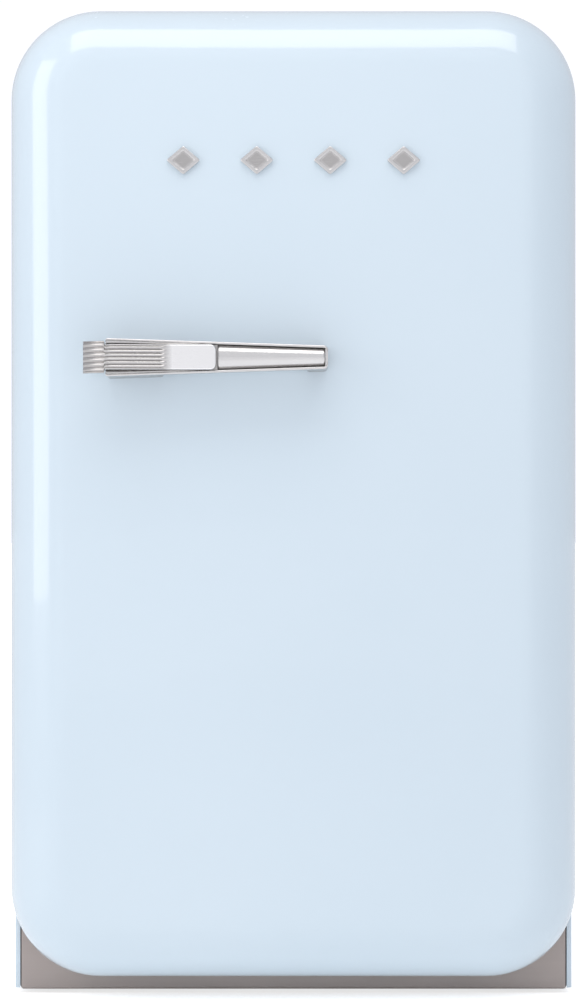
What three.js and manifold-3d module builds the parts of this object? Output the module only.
// A counter-height retro refrigerator with one rounded door, hinged on the right, and a silent absorption
// cooling unit on its back. Millimetres, +Z up, +X towards the hinges, -Y towards the person opening it.
// The origin is on the floor, in the middle of the bounding box.
import * as THREE from 'three';
import { mergeVertices } from 'three/addons/utils/BufferGeometryUtils.js';
import Module from 'manifold-3d';

const wasm = await Module();
wasm.setup();

// ---- Driving dimensions. The design plane y = 0 is the cabinet's front face, and z = 0 is the floor.
const gap = 0.3; // between pieces that touch
const sheet = 1.2; // painted steel sheet
const plastic = 2.5; // vacuum-formed and moulded walls

const cabinet = { width: 404, height: 708, depth: 400, bottom: 4, cornerRadius: 64, hem: 3.7 };
const cavity = { sideWall: 40, topWall: 42, rearWall: 42, bottom: 60, cornerRadius: 18, flange: 4 };
const foam = { bottom: 30 };
const recess = 62; // open space behind the rear panel, between the cabinet's sides
const kick = { bottom: 3, returnDepth: 10 };

const door = { bottom: 17, thickness: 78, crown: 8, edgeWidth: 42, edgeDepth: 42, standOff: 9 };
const seal = { inset: 26, width: 14 };
const dyke = { sideClearance: 12, topClearance: 11, bottomClearance: 6, wall: 16, reach: 50,
  cornerRadius: 14 };
const hinge = {
  inset: 12, setBack: 13, armHalfWidth: 7, armThickness: 4, plateThickness: 2.5, plateHeight: 52,
  plateInset: 2, plateWidth: 20, pinRadius: 4, pinLength: 16, fromBottom: 73, fromTop: 76, swing: 1.5,
  blockHeight: 18, blockHalfWidth: 10.5, boreGap: 0.3, openingDegrees: 100,
};
const screw = { headRadius: 4, headThickness: 1.8, shankRadius: 2, length: 14, spacing: 22, firstAt: 18 };

const shelves = { front: 104, backClearance: 10, sideClearance: 1.5, glass: 4, belowGutter: 70,
  aboveFloor: 185 };
const ledge = { reach: 8, height: 4, front: 90, backClearance: 6, spareAboveFloor: 90,
  spareBelowUpper: 92 };
const trim = { thickness: 2, depth: 10, height: 10 };

const bins = {
  sideClearance: 0.5, reach: 80,
  bottle: { above: 24, height: 92 }, middle: { fromTop: 307, height: 78 },
  upper: { fromTop: 161, height: 57 },
};
const lug = { width: 6, height: 5, reach: 40 };
const lid = {
  thickness: 2.5, pinRadius: 2.5, pinLength: 7, axisY: 6, axisAbove: 3.5, lip: 8, lipGap: 0.5,
  lipThickness: 2,
  barrelRadius: 3.2,
};

const handle = {
  fromTop: 250.5, rightEnd: 24, leftEnd: -131, rightHalf: 8.2, leftHalf: 13.4, rim: 1.8, pocket: 6,
  front: 31, back: 18, leftFoot: 40, rightFoot: 15, cornerRadius: 3,
};
const lever = {
  tip: -147, padEnd: -54, ribsEnd: -88, tipHalf: 11.2, thickness: 4.5, proud: 4,
  flare: 4, curl: 13, ribs: 6, ribDepth: 0.9, pivotX: -60, endGap: 2, knuckleRadius: 3.4, pinRadius: 1.5,
};
const spring = { radius: 2.9, wire: 0.4, turns: 3, coilLength: 4 };
const emblem = { count: 4, pitch: 51.8, fromTop: 110.5, width: 24, height: 20.5, thickness: 3, recess: 1,
  border: 3 };

const foot = {
  fromSide: 34, frontY: 42, fromRearPanel: 33, padRadius: 14, padHeight: 3.5, stemRadius: 4, stemTop: 24,
  nutRadius: 9,
};
const panHeight = 16; // side lips of the base pan
const plunger = { fromSide: 102, radius: 3.5, collar: 0.4, length: 24, bodyWidth: 18, bodyDepth: 23 };
const housing = { halfWidth: 55, front: 96, depth: 104, height: 28, wall: 2 };
const knob = { x: 28, radius: 11.5, depth: 13, shaftRadius: 3, shaftLength: 12, gripDepth: 4 };
const lens = { x: -20, halfWidth: 28, depth: 60, thickness: 2 };

const evaporator = {
  sideClearance: 37, fromTop: 141, height: 112, plate: 3, standOff: 4, finDepth: 16, fins: 24, fin: 1.2,
  neckRadius: 12,
};
// Where the neck goes through the wall, from the evaporator's corner.
const port = { fromEnd: 13, above: 35 };
const gutter = { sideClearance: 5, below: 25, height: 14, depth: 32, wall: 2, outletAbove: 8 };
const drain = { fromGutterEnd: 7, radius: 5, wall: 1.2, panTop: 166, panHeight: 30, panDepth: 52 };

const unit = { standOff: 31.5, tubeRadius: 7 }; // the cooling unit hangs behind the rear panel
const boiler = { fromSide: 97, halfWidth: 34, halfDepth: 26, bottom: 40, top: 400 };
const vessel = { fromSide: 37, fromBoiler: 12, radius: 20, z: 66 };
const coil = { fromExchanger: 42, fromBoiler: 26, bottom: 118, pitch: 46, runs: 6 };
const condenser = {
  fromSide: 52, fromTop: 96, tubeRadius: 8, fins: 13, finsFromBoiler: 43, finSize: 50, fin: 1.2,
  firstFin: 20,
};
const exchanger = { radius: 9 };
const terminal = { fromSide: 30, halfWidth: 22, bottom: 40, height: 74, depth: 50 };
const inlet = { halfWidth: 13.5, halfHeight: 10, depth: 16, z: 66, flange: 2, pinLength: 9 };
const spacer = { fromSide: 34, fromTop: 58, halfWidth: 14, tipHalfWidth: 7, height: 22, beyond: 12 };

// ---- Sizes that follow from those
const half = cabinet.width / 2;
const foamRearY = cabinet.depth - recess;
const rearPanelY = foamRearY + gap;
const rearFaceY = rearPanelY + sheet;
const cavityHalf = half - cavity.sideWall;
const cavityTop = cabinet.height - cavity.topWall;
const cavityDepth = foamRearY - cavity.rearWall;
const doorRearY = -door.standOff;
const doorFrontY = doorRearY - door.thickness;
const doorTop = cabinet.height;
const doorMiddleZ = (door.bottom + doorTop) / 2;
const dykeHalf = cavityHalf - dyke.sideClearance;
const dykeTop = cavityTop - dyke.topClearance;
const dykeBottom = cavity.bottom + dyke.bottomClearance;
const binHalf = dykeHalf - dyke.wall - bins.sideClearance;
const kickTop = cavity.bottom - cavity.flange - gap;
const kickHalf = half - cabinet.hem - gap;
const flangeHalf = cavityHalf + cavity.flange;
const pivotX = half - hinge.inset;
const pivotY = doorRearY - hinge.setBack;
const bottleBin = { bottom: dykeBottom + bins.bottle.above, height: bins.bottle.height };
const middleBin = { bottom: dykeTop - bins.middle.fromTop, height: bins.middle.height };
const upperBin = { bottom: dykeTop - bins.upper.fromTop, height: bins.upper.height };
const handleZ = doorTop - handle.fromTop;
const emblemZ = doorTop - emblem.fromTop;
const handleFrontY = doorFrontY - handle.front;
const handleBackY = doorFrontY - handle.back;
const leverFrontY = handleFrontY - lever.proud;
const frontMost = leverFrontY - lever.flare;
const rearMost = cabinet.depth + spacer.beyond;
// The door's straight side begins here.
const doorSideY = doorRearY - door.thickness + door.crown + door.edgeDepth;
const handleHalf = (x) => THREE.MathUtils.mapLinear(
  x, handle.leftEnd, handle.rightEnd, handle.leftHalf, handle.rightHalf);
const leverHalf = handleHalf(lever.padEnd) - handle.rim - gap;
const leverPivotY = leverFrontY + lever.thickness + lever.knuckleRadius - 0.2;
const lidZ = upperBin.bottom + upperBin.height + lid.axisAbove;
const lidFront = bins.reach + plastic + lid.lipGap + lid.lipThickness;
const switchX = half - plunger.fromSide;
const switchZ = (cavityTop + cavity.flange + cabinet.height) / 2 + 3.5;
const evaporatorZ = cavityTop - evaporator.fromTop;
const evaporatorHalf = cavityHalf - evaporator.sideClearance;
const portX = port.fromEnd - evaporatorHalf;
const portZ = evaporatorZ + port.above;
const gutterZ = evaporatorZ - gutter.below;
const shelfZ = { upper: gutterZ - shelves.belowGutter, lower: cavity.bottom + shelves.aboveFloor };
const gutterHalf = cavityHalf - gutter.sideClearance;
const drainX = gutterHalf - drain.fromGutterEnd;
const drainZ = gutterZ + gutter.outletAbove;
const unitY = rearFaceY + unit.standOff;
const boilerX = half - boiler.fromSide;
const vesselLeft = vessel.fromSide - half;
const vesselRight = boilerX - boiler.halfWidth - vessel.fromBoiler;
const condenserLeft = condenser.fromSide - half;
const condenserZ = cabinet.height - condenser.fromTop;
const terminalX = half - terminal.fromSide;
const spacerZ = cabinet.height - spacer.fromTop;

// ---- Shapes
const vector = (x, y, z) => new THREE.Vector3(x, y, z);

function polygon(points) {
  return new THREE.Shape(points.map(([u, v]) => new THREE.Vector2(u, v)));
}

function roundedRect(left, right, bottom, top, radius) {
  const shape = new THREE.Shape();
  const r = Math.min(radius, (right - left) / 2 - 0.01, (top - bottom) / 2 - 0.01);
  shape.moveTo(left + r, bottom);
  shape.lineTo(right - r, bottom);
  shape.absarc(right - r, bottom + r, r, -Math.PI / 2, 0);
  shape.lineTo(right, top - r);
  shape.absarc(right - r, top - r, r, 0, Math.PI / 2);
  shape.lineTo(left + r, top);
  shape.absarc(left + r, top - r, r, Math.PI / 2, Math.PI);
  shape.lineTo(left, bottom + r);
  shape.absarc(left + r, bottom + r, r, Math.PI, Math.PI * 1.5);
  return shape;
}

// Square at the foot and round at the shoulders: the cabinet seen from the front.
function archShape(inset, bottom) {
  const shape = new THREE.Shape();
  const side = half - inset;
  const top = cabinet.height - inset;
  const r = cabinet.cornerRadius - inset;
  shape.moveTo(-side, bottom);
  shape.lineTo(side, bottom);
  shape.lineTo(side, top - r);
  shape.absarc(side - r, top - r, r, 0, Math.PI / 2);
  shape.lineTo(r - side, top);
  shape.absarc(r - side, top - r, r, Math.PI / 2, Math.PI);
  return shape;
}

function circleShape(radius, u = 0, v = 0) {
  return new THREE.Shape().absarc(u, v, radius, 0, Math.PI * 2);
}

const extruded = (shape, depth, curveSegments = 8) =>
  new THREE.ExtrudeGeometry(shape, { depth, bevelEnabled: false, curveSegments });

// A shape in x and z, pushed from y0 to y1.
function alongY(shape, y0, y1, curveSegments = 5) {
  return extruded(shape, y1 - y0, curveSegments).rotateX(Math.PI / 2).translate(0, y1, 0);
}

// A shape in x and y, pushed from z0 to z1.
function alongZ(shape, z0, z1, curveSegments) {
  return extruded(shape, z1 - z0, curveSegments).translate(0, 0, z0);
}

// A shape in y and z, pushed from x0 to x1.
function alongX(shape, x0, x1, curveSegments) {
  const turn = new THREE.Matrix4().makeBasis(vector(0, 1, 0), vector(0, 0, 1), vector(1, 0, 0));
  return extruded(shape, x1 - x0, curveSegments).applyMatrix4(turn).translate(x0, 0, 0);
}

function box(x0, x1, y0, y1, z0, z1) {
  const middle = [(x0 + x1) / 2, (y0 + y1) / 2, (z0 + z1) / 2];
  return new THREE.BoxGeometry(x1 - x0, y1 - y0, z1 - z0).translate(...middle);
}

// A round bar along one axis, from a to b, whose other two coordinates are p and q.
function bar(axis, radius, a, b, p, q, sides = 24) {
  const made = new THREE.CylinderGeometry(radius, radius, b - a, sides);
  const middle = (a + b) / 2;
  if (axis === 'x') return made.rotateZ(Math.PI / 2).translate(middle, p, q);
  if (axis === 'y') return made.translate(p, middle, q);
  return made.rotateX(Math.PI / 2).translate(p, q, middle);
}

// A closed surface through rings of points with the same count. A ring of one point closes an end.
function loft(rings) {
  const positions = rings.flat().flatMap((p) => [p.x, p.y, p.z]);
  const starts = [];
  let count = 0;
  for (const ring of rings) {
    starts.push(count);
    count += ring.length;
  }
  const index = [];
  for (let r = 0; r + 1 < rings.length; r += 1) {
    const a = rings[r];
    const b = rings[r + 1];
    const n = Math.max(a.length, b.length);
    const at = (ring, start, i) => start + (ring.length === 1 ? 0 : i % n);
    for (let i = 0; i < n; i += 1) {
      const [here, next] = [at(a, starts[r], i), at(a, starts[r], i + 1)];
      const [beyond, across] = [at(b, starts[r + 1], i), at(b, starts[r + 1], i + 1)];
      if (a.length > 1) index.push(here, next, across);
      if (b.length > 1) index.push(here, across, beyond);
    }
  }
  const geometry = new THREE.BufferGeometry();
  geometry.setAttribute('position', new THREE.Float32BufferAttribute(positions, 3));
  geometry.setIndex(index);
  return geometry;
}

const middleOf = (ring) => ring.reduce((sum, p) => sum.add(p), vector(0, 0, 0)).divideScalar(ring.length);
const capped = (rings) => loft([[middleOf(rings[0])], ...rings, [middleOf(rings[rings.length - 1])]]);

// A route of straight runs and round bends that gives back its own points, so a straight needs only two.
class Route extends THREE.Curve {
  constructor(points, bend, perBend) {
    super();
    this.stops = [points[0]];
    for (let i = 1; i + 1 < points.length; i += 1) {
      const into = points[i].clone().sub(points[i - 1]).normalize();
      const out = points[i + 1].clone().sub(points[i]).normalize();
      const start = points[i].clone().addScaledVector(into, -bend);
      const centre = start.clone().addScaledVector(out, bend);
      for (let k = 0; k <= perBend; k += 1) {
        const angle = (k / perBend) * (Math.PI / 2);
        this.stops.push(centre.clone().addScaledVector(out, -bend * Math.cos(angle))
          .addScaledVector(into, bend * Math.sin(angle)));
      }
    }
    this.stops.push(points[points.length - 1]);
    this.count = this.stops.length - 1;
  }

  getPointAt(u) {
    return this.stops[Math.round(u * this.count)].clone();
  }

  getTangentAt(u) {
    const i = Math.round(u * this.count);
    const before = this.stops[Math.max(i - 1, 0)];
    const after = this.stops[Math.min(i + 1, this.count)];
    const first = this.stops[i].clone().sub(before).normalize();
    return first.add(after.clone().sub(this.stops[i]).normalize()).normalize();
  }
}

// A rod along a line of points with square corners, or a tube where it has a wall.
function tube(points, radius, bend, wall = 0) {
  const extrudePath = new Route(points, bend, 3);
  const section = circleShape(radius);
  if (wall) section.holes.push(circleShape(radius - wall));
  const options = { steps: extrudePath.count, extrudePath, curveSegments: 5, bevelEnabled: false };
  return new THREE.ExtrudeGeometry(section, options);
}

// ---- Solids, for cutting and joining
function solid(geometry) {
  const bare = geometry.index ? geometry.toNonIndexed() : geometry.clone();
  bare.deleteAttribute('normal');
  bare.deleteAttribute('uv');
  const merged = mergeVertices(bare, 1e-4);
  const triVerts = new Uint32Array(merged.index.array);
  const make = () => new wasm.Manifold(
    new wasm.Mesh({ numProp: 3, vertProperties: merged.attributes.position.array, triVerts }),
  );
  const made = make();
  if (made.volume() > 0) return made;
  triVerts.reverse(); // it was inside out
  return make();
}

function geometryOf(made) {
  const mesh = made.getMesh();
  const geometry = new THREE.BufferGeometry();
  geometry.setAttribute('position', new THREE.BufferAttribute(mesh.vertProperties, 3));
  geometry.setIndex(new THREE.BufferAttribute(mesh.triVerts, 1));
  return geometry.toNonIndexed();
}

const asSolid = (piece) => (piece.isBufferGeometry ? solid(piece) : piece);
const join = (...pieces) => pieces.map(asSolid).reduce((a, b) => a.add(b));
const cut = (base, ...tools) => tools.map(asSolid).reduce((a, b) => a.subtract(b), asSolid(base));

// ---- Finishes
const finish = (color, roughness, metalness = 0, opacity = 1) =>
  new THREE.MeshStandardMaterial({ color, roughness, metalness, opacity, transparent: opacity < 1 });
const finishes = {
  bluePaint: finish(0xc3dcee, 0.12),
  greyPaint: finish(0x8d8985, 0.45, 0.4),
  whitePlastic: finish(0xf1f2f1, 0.4),
  foam: finish(0xe6d9a8, 0.9),
  steel: finish(0xb9bcbe, 0.4, 0.9),
  satinChrome: finish(0xcfccca, 0.28, 1),
  blackPaint: finish(0x17181a, 0.5, 0.2),
  aluminium: finish(0xc6c9cc, 0.35, 0.9),
  rubber: finish(0xe8e8e6, 0.7),
  clear: finish(0xdfeaf0, 0.05, 0, 0.35),
  nylon: finish(0xded9cc, 0.5),
  blackPlastic: finish(0x1d1e20, 0.5),
};

const fridge = new THREE.Group();
const bodyGroup = new THREE.Group();
fridge.add(bodyGroup);
bodyGroup.position.y = -(frontMost + rearMost) / 2;

function place(name, piece, material) {
  const mesh = new THREE.Mesh(piece.isBufferGeometry ? piece : geometryOf(piece), material);
  mesh.name = name;
  bodyGroup.add(mesh);
  return mesh;
}

// ---- The door's rounded block. A ring follows its outline, inset by some distance.
const cornerSteps = 6;

function outlineRing(inset, depthAt) {
  const side = half - inset;
  const top = doorTop - inset;
  const bottom = door.bottom + inset;
  const r = Math.max(cabinet.cornerRadius - inset, 4);
  const centres = [[side - r, top - r], [r - side, top - r], [r - side, bottom + r],
    [side - r, bottom + r]];
  return centres.flatMap(([cx, cz], quarter) => Array.from({ length: cornerSteps + 1 }, (_, i) => {
    const angle = (quarter + i / cornerSteps) * (Math.PI / 2);
    const x = cx + r * Math.cos(angle);
    const z = cz + r * Math.sin(angle);
    return vector(x, depthAt(x, z), z);
  }));
}

// How far the front stands out at a point, from nothing at the outline to the crown in the middle.
function crownAt(x, z) {
  const across = x / half;
  const up = (z - doorMiddleZ) / ((doorTop - door.bottom) / 2);
  return door.crown * (1 - across * across) * (1 - up * up);
}

const frontAt = (x, z) => doorSideY - door.edgeDepth - crownAt(x, z);

// Rings from the middle of the front, round its edge, to the flat rear, all moved inward by a distance.
function doorRings(inward, rearY) {
  const rings = [[vector(0, doorFrontY + inward, doorMiddleZ)]];
  for (const inset of [half * 0.9, half * 0.66, half * 0.42]) {
    rings.push(outlineRing(inset, (x, z) => frontAt(x, z) + inward));
  }
  const edgeSteps = 6;
  for (let i = 0; i <= edgeSteps; i += 1) {
    const angle = (1 - i / edgeSteps) * (Math.PI / 2);
    const inset = (door.edgeWidth - inward) * (1 - Math.cos(angle)) + inward;
    const depth = (door.edgeDepth - inward) * Math.sin(angle);
    rings.push(outlineRing(inset, (x, z) => doorSideY - depth - crownAt(x, z)));
  }
  rings.push(outlineRing(inward, () => rearY));
  return rings;
}

function doorBlock(inward, rearY) {
  return solid(loft([...doorRings(inward, rearY), [vector(0, rearY, doorMiddleZ)]]));
}

// ---- Hinges. The lower arm carries its pin upwards and the upper one downwards.
const hinges = [
  { name: 'lower', z: door.bottom + hinge.fromBottom, up: 1 },
  { name: 'upper', z: doorTop - hinge.fromTop, up: -1 },
];

const zSpan = (a, b) => [Math.min(a, b), Math.max(a, b)];

function hingeSizes({ z, up }) {
  const armTop = z + (up > 0 ? hinge.armThickness : 0);
  const armBottom = z + (up > 0 ? 0 : -hinge.armThickness);
  const pinFrom = up > 0 ? armTop : armBottom;
  return {
    arm: [armBottom, armTop],
    pocket: [armBottom - hinge.swing, armTop + hinge.swing],
    pin: zSpan(pinFrom, pinFrom + up * hinge.pinLength),
    block: zSpan(pinFrom + up * (hinge.swing + gap),
    pinFrom + up * (hinge.swing + gap + hinge.blockHeight)),
    plate: zSpan(z - up * 6, z + up * (hinge.plateHeight - 6)),
    screws: [0, 1].map((n) => z + up * (screw.firstAt + n * screw.spacing)),
  };
}

function hingePocket(span) {
  const left = pivotX - hinge.armHalfWidth - hinge.swing;
  const front = pivotY - hinge.armHalfWidth * 2;
  return box(left, half + 1, front, doorRearY + 1, span[0], span[1]);
}

const hingeBlockBox = (span, grow) => box(
  pivotX - hinge.blockHalfWidth - grow, half - sheet - gap - 0.6 + grow,
  pivotY - hinge.blockHalfWidth - grow, doorRearY - plastic - gap - 0.2 + grow,
  span[0] - grow, span[1] + grow,
);

const plateLeft = half - hinge.plateInset - hinge.plateWidth;
const screwX = plateLeft + hinge.plateWidth / 2;

const screwHoles = (radius, depth) =>
  hinges.flatMap((h) => hingeSizes(h).screws).map((z) => bar('y', radius, -gap, depth, screwX, z, 12));

function makeHinges() {
  for (const each of hinges) {
    const size = hingeSizes(each);
    const plateFront = -gap - hinge.plateThickness;
    const plate = box(plateLeft, plateLeft + hinge.plateWidth, plateFront, -gap, ...size.plate);
    const arm = box(pivotX - hinge.armHalfWidth, pivotX + hinge.armHalfWidth, pivotY, -gap - 0.2,
      ...size.arm);
    const eye = bar('z', hinge.armHalfWidth, ...size.arm, pivotX, pivotY);
    const pinStart = each.up > 0 ? size.arm[0] : size.pin[0];
    const pinEnd = each.up > 0 ? size.pin[1] : size.arm[1];
    const pin = bar('z', hinge.pinRadius, pinStart, pinEnd, pivotX, pivotY);
    const sinks = size.screws.map((z) => bar('y', screw.headRadius + gap, plateFront - 1,
      plateFront + screw.headThickness + 0.3, screwX, z, 16));
    const holes = size.screws.map((z) => bar('y', screw.shankRadius + gap, plateFront - 1, 1, screwX, z,
      12));
    place(`hinge_bracket_${each.name}`, cut(join(plate, arm, eye, pin), ...sinks, ...holes),
      finishes.steel);
    size.screws.forEach((z, n) => {
      const head = bar('y', screw.headRadius, plateFront + 0.1, plateFront + screw.headThickness, screwX,
        z, 12);
      const shank = bar('y', screw.shankRadius, plateFront + 1, screw.length, screwX, z, 8);
      const slot = box(screwX - 3, screwX + 3, plateFront - 1, plateFront + 0.9, z - 0.5, z + 0.5);
      place(`hinge_screw_${each.name}_${n + 1}`, cut(join(head, shank), slot), finishes.steel);
    });
    const block = hingeBlockBox(size.block, 0);
    const bore = bar('z', hinge.pinRadius + hinge.boreGap, size.block[0] - 1, size.block[1] + 1, pivotX,
      pivotY);
    place(`hinge_bush_${each.name}`, cut(block, bore), finishes.nylon);
  }
}

// ---- Cabinet
function makeOuterShell() {
  const wrap = alongY(archShape(0, cabinet.bottom), 0, cabinet.depth);
  const inside = alongY(archShape(sheet, cabinet.bottom - 1), sheet, cabinet.depth + 1);
  const mouth = alongY(
    roundedRect(-flangeHalf - gap, flangeHalf + gap, cavity.bottom - cavity.flange - gap,
      cavityTop + cavity.flange + gap, cavity.cornerRadius + cavity.flange), -1, sheet + 1, 3);
  const foot = box(-kickHalf - gap, kickHalf + gap, -1, sheet + 1, cabinet.bottom - 1, kickTop + gap);
  const switchHole = bar('y', plunger.radius + 0.6, -1, sheet + 1, switchX, switchZ, 16);
  place('outer_shell', cut(wrap, inside, mouth, foot, ...screwHoles(screw.shankRadius + gap, sheet + 1),
    switchHole), finishes.bluePaint);
}

const linerOuter = (grow) => alongY(
  roundedRect(-cavityHalf - grow, cavityHalf + grow, cavity.bottom - grow, cavityTop + grow,
  cavity.cornerRadius + grow),
  0, cavityDepth + grow, 3);

function makeLiner() {
  const flange = alongY(
    roundedRect(-flangeHalf, flangeHalf, cavity.bottom - cavity.flange, cavityTop + cavity.flange,
      cavity.cornerRadius + cavity.flange), 0, plastic, 3);
  const inside = alongY(
    roundedRect(-cavityHalf, cavityHalf, cavity.bottom, cavityTop, cavity.cornerRadius), -1, cavityDepth,
    3);
  const spares = [cavity.bottom + ledge.spareAboveFloor, shelfZ.upper - ledge.spareBelowUpper];
  const levels = [shelfZ.lower, shelfZ.upper, ...spares];
  const ledges = levels.flatMap((z) => [-1, 1].map((side) => {
    const [x0, x1] = zSpan(side * (cavityHalf - ledge.reach), side * (cavityHalf + 1));
    return box(x0, x1, ledge.front, cavityDepth - ledge.backClearance, z - ledge.height - gap, z - gap);
  }));
  const neck = bar('y', evaporator.neckRadius + gap, cavityDepth - 1, cavityDepth + plastic + 1, portX,
    portZ, 20);
  const outlet = bar('y', drain.radius + gap, cavityDepth - 1, cavityDepth + plastic + 1, drainX, drainZ,
    12);
  const tub = cut(join(linerOuter(plastic), flange), inside);
  place('inner_liner', cut(join(tub, ...ledges), neck, outlet), finishes.whitePlastic);
}

const switchBox = (grow) => box(
  switchX - plunger.bodyWidth / 2 - grow, switchX + plunger.bodyWidth / 2 + grow, sheet + gap - grow,
  sheet + gap + plunger.bodyDepth + grow, switchZ - plunger.bodyWidth / 2 - grow,
  switchZ + plunger.bodyWidth / 2 - 1 + grow);

function makeFoam() {
  const block = alongY(archShape(sheet + gap, foam.bottom), sheet + gap, foamRearY);
  const hollow = linerOuter(plastic + gap);
  const lip = alongY(
    roundedRect(-flangeHalf - gap, flangeHalf + gap, cavity.bottom - cavity.flange - gap,
      cavityTop + cavity.flange + gap, cavity.cornerRadius + cavity.flange), 0, plastic + gap, 3);
  const kickSpace = box(-half, half, 0, kick.returnDepth + gap, 0, kickTop + gap);
  const neck = bar('y', evaporator.neckRadius + gap, cavityDepth - 1, foamRearY + 1, portX, portZ, 20);
  const outlet = bar('y', drain.radius + gap, cavityDepth - 1, foamRearY + 1, drainX, drainZ, 12);
  place('cabinet_foam', cut(block, hollow, lip, kickSpace, neck, outlet, switchBox(gap),
    ...screwHoles(screw.shankRadius + gap, screw.length + 1)), finishes.foam);
}

function makePanels() {
  const face = box(-kickHalf, kickHalf, 0, kick.returnDepth, kick.bottom, kickTop);
  const back = box(-kickHalf + sheet, kickHalf - sheet, sheet, kick.returnDepth + 1, kick.bottom + sheet,
    kickTop + 1);
  place('kick_plate', cut(face, back), finishes.greyPaint);

  const panSide = half - sheet - gap;
  const panFront = kick.returnDepth + gap;
  const panBack = rearPanelY - gap;
  const tray = box(-panSide, panSide, panFront, panBack, cabinet.bottom, cabinet.bottom + panHeight);
  const trayInside = box(-panSide + sheet, panSide - sheet, panFront - 1, panBack + 1,
    cabinet.bottom + sheet,
    cabinet.bottom + panHeight + 1);
  const nuts = feet.map(({ x, y }) => bar('z', foot.nutRadius, cabinet.bottom, cabinet.bottom + 8, x, y,
    6));
  const stems = feet.map(({ x, y }) => bar('z', foot.stemRadius + 2 * gap, 0, cabinet.bottom + 10, x, y,
    12));
  place('base_pan', cut(join(cut(tray, trayInside), ...nuts), ...stems), finishes.steel);

  const panel = alongY(archShape(sheet + gap, cabinet.bottom + sheet + gap), rearPanelY, rearFaceY);
  const neck = bar('y', evaporator.neckRadius + gap, foamRearY, rearFaceY + 1, portX, portZ, 20);
  const outlet = bar('y', drain.radius + gap, foamRearY, rearFaceY + 1, drainX, drainZ, 12);
  place('rear_panel', cut(panel, neck, outlet), finishes.steel);
}

const feet = [
  { name: 'front_left', x: foot.fromSide - half, y: foot.frontY },
  { name: 'front_right', x: half - foot.fromSide, y: foot.frontY },
  { name: 'rear_left', x: foot.fromSide - half, y: foamRearY - foot.fromRearPanel },
  { name: 'rear_right', x: half - foot.fromSide, y: foamRearY - foot.fromRearPanel },
];

function makeFeet() {
  for (const { name, x, y } of feet) {
    const pad = bar('z', foot.padRadius, 0, foot.padHeight, x, y, 16);
    const stem = bar('z', foot.stemRadius, 0, foot.stemTop, x, y, 12);
    place(`foot_${name}`, join(pad, stem), finishes.blackPlastic);
  }
}

// ---- Inside the cabinet
function makeShelf(name, z) {
  const side = cavityHalf - shelves.sideClearance;
  const back = cavityDepth - shelves.backClearance;
  const glass = alongZ(roundedRect(-side, side, shelves.front, back, 4), z, z + shelves.glass, 3);
  place(`shelf_${name}_glass`, glass, finishes.clear);
  const edge = cavityHalf - ledge.reach - shelves.sideClearance;
  const front = shelves.front - trim.thickness - gap;
  const rim = box(-edge, edge, front, front + trim.depth, z - trim.thickness - gap,
    z - trim.thickness - gap + trim.height);
  const slot = box(-edge - 1, edge + 1, shelves.front - gap, shelves.front + trim.depth + 1, z - gap,
    z + shelves.glass + gap);
  place(`shelf_${name}_trim`, cut(rim, slot), finishes.satinChrome);
}

function makeCoolingPlate() {
  const back = cavityDepth - gap - evaporator.standOff;
  const top = evaporatorZ + evaporator.height;
  const plate = box(-evaporatorHalf, evaporatorHalf, back - evaporator.plate, back, evaporatorZ, top);
  const pitch = (2 * evaporatorHalf - evaporator.fin) / (evaporator.fins - 1);
  const fins = [];
  for (let i = 0; i < evaporator.fins; i += 1) {
    const x = i * pitch - evaporatorHalf;
    fins.push(box(x, x + evaporator.fin, back - evaporator.plate - evaporator.finDepth, back - 1,
      evaporatorZ, top));
  }
  const neck = bar('y', evaporator.neckRadius, back - 1, rearFaceY, portX, portZ, 20);
  place('evaporator', join(plate, ...fins, neck), finishes.aluminium);

  const rear = cavityDepth - gap;
  const trough = box(-gutterHalf, gutterHalf, rear - gutter.depth, rear, gutterZ, gutterZ + gutter.height);
  const hollow = box(-gutterHalf + gutter.wall, gutterHalf - gutter.wall, rear - gutter.depth + gutter.wall,
    rear - gutter.wall, gutterZ + gutter.wall, gutterZ + gutter.height + 1);
  const outlet = bar('y', drain.radius + gap, rear - gutter.wall - 1, rear + 1, drainX, drainZ, 12);
  place('drip_gutter', cut(trough, hollow, outlet), finishes.whitePlastic);
}

function makeDrain() {
  const y = unitY;
  const z = drainZ;
  const route = [vector(drainX, cavityDepth - gutter.wall, z), vector(drainX, y, z),
    vector(drainX, y, drain.panTop - 12)];
  place('drain_tube', tube(route, drain.radius, 12, drain.wall), finishes.blackPlastic);
  const left = boilerX + boiler.halfWidth + 2;
  const right = half - sheet - 3;
  const bottom = drain.panTop - drain.panHeight;
  const back = rearFaceY + drain.panDepth;
  const pan = box(left, right, rearFaceY + gap, back, bottom, drain.panTop);
  const hollow = box(left + 2, right - 2, rearFaceY + gap + 2, back - 2, bottom + 2, drain.panTop + 1);
  place('drain_pan', cut(pan, hollow), finishes.blackPlastic);
}

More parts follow.
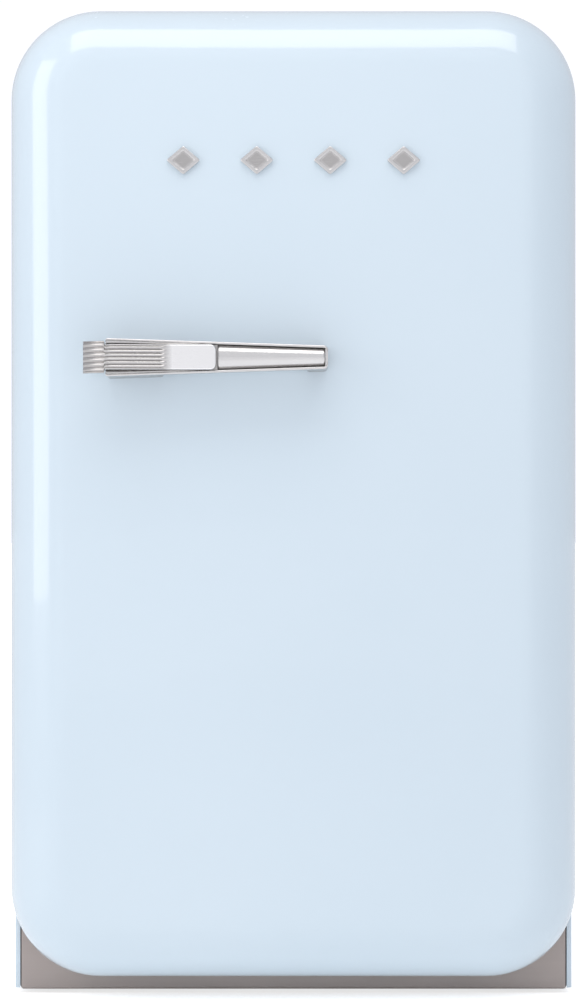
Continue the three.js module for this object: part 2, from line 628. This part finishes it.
function makeLampAndThermostat() {
  const top = cavityTop - gap;
  const bottom = top - housing.height;
  const back = housing.front + housing.depth;
  const outer = alongZ(roundedRect(-housing.halfWidth, housing.halfWidth, housing.front, back, 10),
    bottom, top, 4);
  const inner = alongZ(roundedRect(-housing.halfWidth + housing.wall, housing.halfWidth - housing.wall,
    housing.front + housing.wall, back - housing.wall, 8), bottom + housing.wall, top + 1, 4);
  const knobZ = bottom + housing.height / 2;
  const shaftHole = bar('y', knob.shaftRadius + 0.4, housing.front - 1, housing.front + housing.wall + 1,
    knob.x, knobZ, 20);
  const lensFront = housing.front + 22;
  const window = (grow) => box(lens.x - lens.halfWidth - grow, lens.x + lens.halfWidth + grow,
    lensFront - grow,
    lensFront + lens.depth + grow, bottom - 1.5, bottom + lens.thickness - 0.5 + grow);
  place('lamp_housing', cut(outer, inner, shaftHole, window(gap)), finishes.whitePlastic);
  place('lamp_lens', window(0), finishes.clear);

  const face = housing.front - gap;
  const disc = bar('y', knob.radius, face - knob.depth, face, knob.x, knobZ, 32);
  const shaft = bar('y', knob.shaftRadius, face - 1, housing.front + knob.shaftLength, knob.x, knobZ, 20);
  const grips = [-1, 1].map((side) => {
    const [x0, x1] = zSpan(knob.x + side * 3, knob.x + side * (knob.radius + 1));
    return box(x0, x1, face - knob.depth - 1, face - knob.depth + knob.gripDepth, knobZ - knob.radius,
      knobZ + knob.radius);
  });
  place('thermostat_knob', cut(join(disc, shaft), ...grips), finishes.whitePlastic);
}

function makeDoorSwitch() {
  const body = switchBox(0);
  const start = doorRearY + gap;
  const rear = start + plunger.length;
  const bore = bar('y', plunger.radius + plunger.collar, 0, rear + 1, switchX, switchZ, 20);
  place('switch_body', cut(body, bore), finishes.whitePlastic);
  place('switch_plunger', bar('y', plunger.radius, start, rear, switchX, switchZ, 20),
    finishes.whitePlastic);
}

// ---- Door
function makeDoorPanels() {
  const pockets = hinges.map((h) => hingePocket(hingeSizes(h).pocket));
  const shellRings = [...doorRings(0, doorRearY), ...doorRings(sheet, doorRearY).reverse()];
  place('door_skin', cut(solid(loft(shellRings)), ...pockets), finishes.bluePaint);

  const plateInset = sheet + gap;
  const plate = solid(capped([outlineRing(plateInset, () => doorRearY - plastic),
    outlineRing(plateInset, () => doorRearY)]));
  const dykeRing = (shrink, y0, y1) => {
    const inner = dykeHalf - dyke.wall;
    const shape = roundedRect(-dykeHalf + shrink, dykeHalf - shrink, dykeBottom + shrink,
      dykeTop - shrink, dyke.cornerRadius - shrink);
    shape.holes.push(new THREE.Path(roundedRect(-inner - shrink, inner + shrink,
      dykeBottom + dyke.wall - shrink,
      dykeTop - dyke.wall + shrink, 6 + shrink).getPoints(4)));
    return alongY(shape, y0, y1, 4);
  };
  const pinHoles = (radius, depth) => [-1, 1].map((side) => {
    const [x0, x1] = zSpan(side * (binHalf - 2), side * (binHalf + depth));
    return bar('x', radius, x0, x1, lid.axisY, lidZ, 16);
  });
  const lugs = [bottleBin, middleBin, upperBin].flatMap(({ bottom }) => [-1, 1].map((side) => {
    const inner = dykeHalf - dyke.wall;
    const [x0, x1] = zSpan(side * (inner - lug.width), side * (inner + 1));
    return box(x0, x1, doorRearY - 1, lug.reach, bottom - lug.height - gap, bottom - gap);
  }));
  const hump = cut(join(plate, dykeRing(0, doorRearY - 1, dyke.reach), ...lugs),
    dykeRing(plastic, doorRearY - plastic - 1, dyke.reach - plastic));
  place('door_liner', cut(hump, ...pockets, ...pinHoles(lid.pinRadius + 0.5, 6)), finishes.whitePlastic);

  const core = doorBlock(sheet + gap, doorRearY - plastic - gap);
  const filling = dykeRing(plastic + gap, doorRearY - plastic - gap - 1, dyke.reach - plastic - gap);
  const blocks = hinges.map((h) => hingeBlockBox(hingeSizes(h).block, gap));
  const bores = hinges.map((h) => {
    const { pin } = hingeSizes(h);
    return bar('z', hinge.pinRadius + hinge.boreGap, pin[0] - 1, pin[1] + 1, pivotX, pivotY);
  });
  const clearance = hinges.map((h) => hingePocket(hingeSizes(h).pocket));
  place('door_foam', cut(join(core, filling), ...clearance, ...blocks, ...bores,
    ...pinHoles(lid.pinRadius + 0.7, 7.5)),
    finishes.foam);
}

function makeSeal() {
  const ring = roundedRect(-half + seal.inset, half - seal.inset, door.bottom + seal.inset,
    doorTop - seal.inset,
    cabinet.cornerRadius - seal.inset);
  const inner = seal.inset + seal.width;
  ring.holes.push(new THREE.Path(roundedRect(-half + inner, half - inner, door.bottom + inner,
    doorTop - inner,
    cabinet.cornerRadius - inner).getPoints(6)));
  place('door_gasket', alongY(ring, doorRearY + gap, -gap, 6), finishes.rubber);
}

function makeBin(name, { bottom, height }, withTrim) {
  const side = binHalf;
  const top = bottom + height;
  const back = doorRearY + gap;
  const front = bins.reach + plastic;
  const outer = alongZ(roundedRect(-side, side, back, front, 6), bottom, top, 3);
  const inner = alongZ(roundedRect(-side + plastic, side - plastic, back + plastic, front - plastic, 4),
    bottom + plastic, top + 1, 3);
  place(`door_bin_${name}`, cut(outer, inner), finishes.whitePlastic);
  if (!withTrim) return;
  const edge = side - 8;
  const strip = box(-edge, edge, front - plastic - gap - trim.thickness, front + gap + trim.thickness,
    top - trim.height + trim.thickness, top + gap + trim.thickness);
  const slot = box(-edge - 1, edge + 1, front - plastic - gap, front + gap, bottom, top + gap);
  place(`bin_trim_${name}`, cut(strip, slot), finishes.satinChrome);
}

function makeLid() {
  const side = binHalf - plastic;
  const bottom = upperBin.bottom + upperBin.height + gap;
  const plate = box(-side, side, lid.axisY - 2, lidFront, bottom + 1, bottom + 1 + lid.thickness);
  const lip = box(-side, side, lidFront - lid.lipThickness, lidFront, bottom - lid.lip, bottom + 2);
  const barrel = bar('x', lid.barrelRadius, -side, side, lid.axisY, lidZ, 16);
  const pins = bar('x', lid.pinRadius, -side - lid.pinLength, side + lid.pinLength, lid.axisY, lidZ, 16);
  const flat = box(-side - 9, side + 9, 0, lidFront + 2, bottom - 20, bottom);
  const flatKeep = box(-side, side, lidFront - lid.lipThickness, lidFront, bottom - lid.lip, bottom + 1);
  place('bin_lid', join(cut(join(plate, lip, barrel, pins), flat), flatKeep), finishes.clear);
}

// ---- Handle: a channel on two feet, a crowned inlay, and a ribbed lever that pulls away from the door
function taperedShape(left, right, inset, radius) {
  const shape = new THREE.Shape();
  const a = handleHalf(left) - inset;
  const b = handleHalf(right) - inset;
  const r = radius;
  shape.moveTo(left + r, handleZ - a);
  shape.lineTo(right - r, handleZ - b);
  shape.quadraticCurveTo(right, handleZ - b, right, handleZ - b + r);
  shape.lineTo(right, handleZ + b - r);
  shape.quadraticCurveTo(right, handleZ + b, right - r, handleZ + b);
  shape.lineTo(left + r, handleZ + a);
  shape.quadraticCurveTo(left, handleZ + a, left, handleZ + a - r);
  shape.lineTo(left, handleZ - a + r);
  shape.quadraticCurveTo(left, handleZ - a, left + r, handleZ - a);
  return shape;
}

function makeHandle() {
  const plank = alongY(taperedShape(handle.leftEnd, handle.rightEnd, 0, handle.cornerRadius), handleFrontY,
    handleBackY, 4);
  const floorY = handleFrontY + handle.pocket;
  const pocket = alongY(taperedShape(handle.leftEnd - 20, handle.rightEnd - handle.rim, handle.rim, 1),
    handleFrontY - 1,
    floorY, 2);
  const leftFoot = alongY(taperedShape(handle.leftEnd, handle.leftEnd + handle.leftFoot, -0.8, 3),
    handleBackY - 1,
    doorFrontY + door.crown, 4);
  const rightFoot = alongY(taperedShape(handle.rightEnd - handle.rightFoot, handle.rightEnd, -0.8, 3),
    handleBackY - 1, doorFrontY + door.crown, 4);
  const doorSpace = doorBlock(-gap, doorRearY);
  const knuckleRoom = box(lever.pivotX - 5, lever.pivotX + 5, floorY - 1, floorY + 1.8, handleZ - leverHalf,
    handleZ + leverHalf);
  const pinHole = bar('z', lever.pinRadius + gap, handleZ - handle.leftHalf - 1,
    handleZ + handle.leftHalf + 1,
    lever.pivotX, leverPivotY, 12);
  place('handle_base', cut(join(plank, leftFoot, rightFoot), pocket, doorSpace, knuckleRoom, pinHole),
    finishes.satinChrome);

  const inlayLeft = lever.padEnd + lever.endGap;
  const inlayRight = handle.rightEnd - handle.rim - gap;
  const stations = [inlayLeft, (inlayLeft + inlayRight) / 2, inlayRight];
  const rings = stations.map((x) => {
    const reach = handleHalf(x) - handle.rim - gap;
    const ring = [];
    for (let i = 0; i <= 12; i += 1) {
      const angle = (i / 12) * Math.PI;
      const rise = (handle.pocket + 1 - gap) * Math.sin(angle);
      ring.push(vector(x, floorY - gap - rise, handleZ + reach * Math.cos(angle)));
    }
    return ring;
  });
  place('handle_inlay', solid(capped(rings)), finishes.satinChrome);

  const pinReach = handleHalf(lever.pivotX) - 0.5;
  place('lever_pin', bar('z', lever.pinRadius, handleZ - pinReach, handleZ + pinReach, lever.pivotX,
    leverPivotY, 12),
    finishes.steel);
}

function leverFront(x) {
  if (x >= lever.ribsEnd) return 0;
  const share = (lever.ribsEnd - x) / (lever.ribsEnd - lever.tip);
  const bend = 0.72;
  if (share <= bend) return -lever.flare * Math.sin((share / bend) * (Math.PI / 2)) ** 2;
  const past = (share - bend) / (1 - bend);
  return -lever.flare + lever.curl * past * past;
}

function makeLever() {
  const stations = [lever.padEnd, lever.padEnd - 1.5, lever.ribsEnd + 0.5, lever.ribsEnd - 0.5];
  for (let i = 1; i <= 10; i += 1) stations.push(lever.ribsEnd - (i / 10) * (lever.ribsEnd - lever.tip));
  const rings = stations.map((x) => {
    const wide = x < handle.leftEnd - 0.5 ? lever.tipHalf : leverHalf;
    const reach = x > lever.padEnd - 1 ? wide - 1.5 : wide;
    const front = leverFrontY + leverFront(x);
    const groove = x < lever.ribsEnd && x > lever.tip + 1 ? lever.ribDepth : 0;
    const ring = [];
    const points = lever.ribs * 2;
    for (let i = 0; i <= points; i += 1) {
      const z = -reach + (i / points) * 2 * reach;
      ring.push(vector(x, leverFrontY + leverFront(x) + (i % 2 && i < points ? groove : 0), handleZ + z));
    }
    ring.push(vector(x, front + lever.thickness, handleZ + reach));
    ring.push(vector(x, front + lever.thickness, handleZ - reach));
    return ring;
  });
  const knuckles = [-1, 1].map((side) => {
    const [z0, z1] = zSpan(handleZ + side * 3.2, handleZ + side * (leverHalf - 1));
    const web = box(lever.pivotX - 2, lever.pivotX + 2, leverPivotY - lever.knuckleRadius - 1,
      leverPivotY, z0, z1);
    return join(bar('z', lever.knuckleRadius, z0, z1, lever.pivotX, leverPivotY, 16), web);
  });
  const bore = bar('z', lever.pinRadius + gap, handleZ - 20, handleZ + 20, lever.pivotX, leverPivotY, 12);
  place('handle_lever', cut(join(solid(capped(rings)), ...knuckles), bore), finishes.satinChrome);

  const helix = new THREE.CatmullRomCurve3(Array.from({ length: 25 }, (_, i) => {
    const angle = (i / 24) * spring.turns * Math.PI * 2;
    return vector(lever.pivotX + (spring.radius - spring.wire) * Math.cos(angle),
      leverPivotY + (spring.radius - spring.wire) * Math.sin(angle),
      handleZ - spring.coilLength / 2 + (i / 24) * spring.coilLength);
  }));
  place('lever_spring', new THREE.ExtrudeGeometry(circleShape(spring.wire),
    { steps: 48, extrudePath: helix, curveSegments: 2, bevelEnabled: false }), finishes.steel);
}

function makeEmblems() {
  const doorSpace = doorBlock(-gap, doorRearY);
  for (let i = 0; i < emblem.count; i += 1) {
    const x = (i - (emblem.count - 1) / 2) * emblem.pitch;
    const lozenge = (inset) => {
      const w = emblem.width / 2 - inset;
      const h = emblem.height / 2 - inset * (emblem.height / emblem.width);
      return polygon([[x - w, emblemZ], [x, emblemZ - h], [x + w, emblemZ], [x, emblemZ + h]]);
    };
    const front = frontAt(x, emblemZ) - emblem.thickness;
    const plate = alongY(lozenge(0), front, doorFrontY + door.crown);
    const recess = alongY(lozenge(emblem.border), front - 1, front + emblem.recess);
    place(`emblem_${i + 1}`, cut(plate, recess, doorSpace), finishes.satinChrome);
  }
}

// ---- Cooling unit on the back
function makeCoolingUnit() {
  const y = unitY;
  const boilerBlock = (inset, z0, z1) => alongZ(roundedRect(boilerX - boiler.halfWidth + inset,
    boilerX + boiler.halfWidth - inset, y - boiler.halfDepth + inset, y + boiler.halfDepth - inset,
    8 - inset),
    z0, z1, 3);
  place('boiler_casing', cut(boilerBlock(0, boiler.bottom, boiler.top),
    boilerBlock(sheet, boiler.bottom - 1, boiler.top - sheet)), finishes.steel);
  place('boiler_insulation', boilerBlock(sheet + gap, boiler.bottom + 1, boiler.top - sheet - gap),
    finishes.foam);
  place('absorber_vessel', bar('x', vessel.radius, vesselLeft, vesselRight, y, vessel.z, 24),
    finishes.blackPaint);

  const coilLeft = portX + coil.fromExchanger;
  const coilRight = boilerX - boiler.halfWidth - coil.fromBoiler;
  const turns = [vector(coilRight, y, vessel.z)];
  for (let i = 0; i < coil.runs; i += 1) {
    const ends = i % 2 ? [coilLeft, coilRight] : [coilRight, coilLeft];
    ends.forEach((x) => turns.push(vector(x, y, coil.bottom + i * coil.pitch)));
  }
  turns.push(vector(coil.runs % 2 ? coilLeft : coilRight, y, coil.bottom + coil.runs * coil.pitch));
  const run = tube(turns, unit.tubeRadius, 20);
  const keepOut = bar('x', vessel.radius + gap, vesselLeft, vesselRight + 40, y, vessel.z, 24);
  place('absorber_coil', cut(run, keepOut), finishes.blackPaint);

  const pipe = tube([vector(boilerX, y, boiler.top + gap), vector(boilerX, y, condenserZ),
    vector(condenserLeft, y, condenserZ)], condenser.tubeRadius, 24);
  const firstFin = condenserLeft + condenser.firstFin;
  const finPitch = (boilerX - condenser.finsFromBoiler - firstFin) / (condenser.fins - 1);
  const fins = [];
  for (let i = 0; i < condenser.fins; i += 1) {
    const x = firstFin + i * finPitch;
    fins.push(box(x, x + condenser.fin, y - condenser.finSize / 2, y + condenser.finSize / 2,
      condenserZ - condenser.finSize / 2, condenserZ + condenser.finSize / 2));
  }
  place('condenser', join(pipe, ...fins), finishes.blackPaint);

  const downpipe = tube([vector(portX, rearFaceY + 2 * gap, portZ), vector(portX, y, portZ),
    vector(portX, y, vessel.z + vessel.radius + gap)], exchanger.radius, 16);
  place('heat_exchanger', downpipe, finishes.blackPaint);
}

function makeElectrics() {
  const y0 = rearFaceY + gap;
  const y1 = y0 + terminal.depth;
  const left = terminalX - terminal.halfWidth;
  const right = terminalX + terminal.halfWidth;
  const shellBox = alongX(roundedRect(y0, y1, terminal.bottom, terminal.bottom + terminal.height, 5),
    left, right, 4);
  const socket = box(terminalX - inlet.halfWidth - gap, terminalX + inlet.halfWidth + gap,
    y1 - inlet.depth - gap,
    y1 + 1, inlet.z - inlet.halfHeight - gap, inlet.z + inlet.halfHeight + gap);
  place('terminal_box', cut(shellBox, socket), finishes.blackPlastic);

  const body = box(terminalX - inlet.halfWidth, terminalX + inlet.halfWidth, y1 - inlet.depth,
    y1 + inlet.flange,
    inlet.z - inlet.halfHeight, inlet.z + inlet.halfHeight);
  const well = alongY(roundedRect(terminalX - inlet.halfWidth + 2, terminalX + inlet.halfWidth - 2,
    inlet.z - inlet.halfHeight + 2, inlet.z + inlet.halfHeight - 2, 2), y1 - inlet.depth + 3,
    y1 + inlet.flange + 1, 3);
  const pins = [-7, 0, 7].map((x, i) => box(terminalX + x - 1, terminalX + x + 1, y1 - inlet.depth + 2,
    y1 - inlet.depth + 3 + inlet.pinLength, inlet.z - 3 + (i === 1 ? 2.5 : 0),
    inlet.z + 2 + (i === 1 ? 2.5 : 0)));
  place('mains_inlet', join(cut(body, well), ...pins), finishes.blackPlastic);
}

function makeSpacers() {
  for (const [name, side] of [['left', -1], ['right', 1]]) {
    const x = side * (half - spacer.fromSide);
    const block = alongZ(polygon([[x - spacer.halfWidth, rearFaceY + gap],
      [x + spacer.halfWidth, rearFaceY + gap],
      [x + spacer.tipHalfWidth, rearMost], [x - spacer.tipHalfWidth, rearMost]]),
      spacerZ - spacer.height / 2, spacerZ + spacer.height / 2);
    place(`wall_spacer_${name}`, block, finishes.blackPlastic);
  }
}

makeOuterShell();
makeLiner();
makeFoam();
makePanels();
makeFeet();
makeShelf('upper', shelfZ.upper);
makeShelf('lower', shelfZ.lower);
makeCoolingPlate();
makeDrain();
makeLampAndThermostat();
makeDoorSwitch();
makeDoorPanels();
makeSeal();
makeBin('bottle', bottleBin, true);
makeBin('middle', middleBin, true);
makeBin('upper', upperBin, false);
makeLid();
makeHinges();
makeHandle();
makeLever();
makeEmblems();
makeCoolingUnit();
makeElectrics();
makeSpacers();

export default fridge;
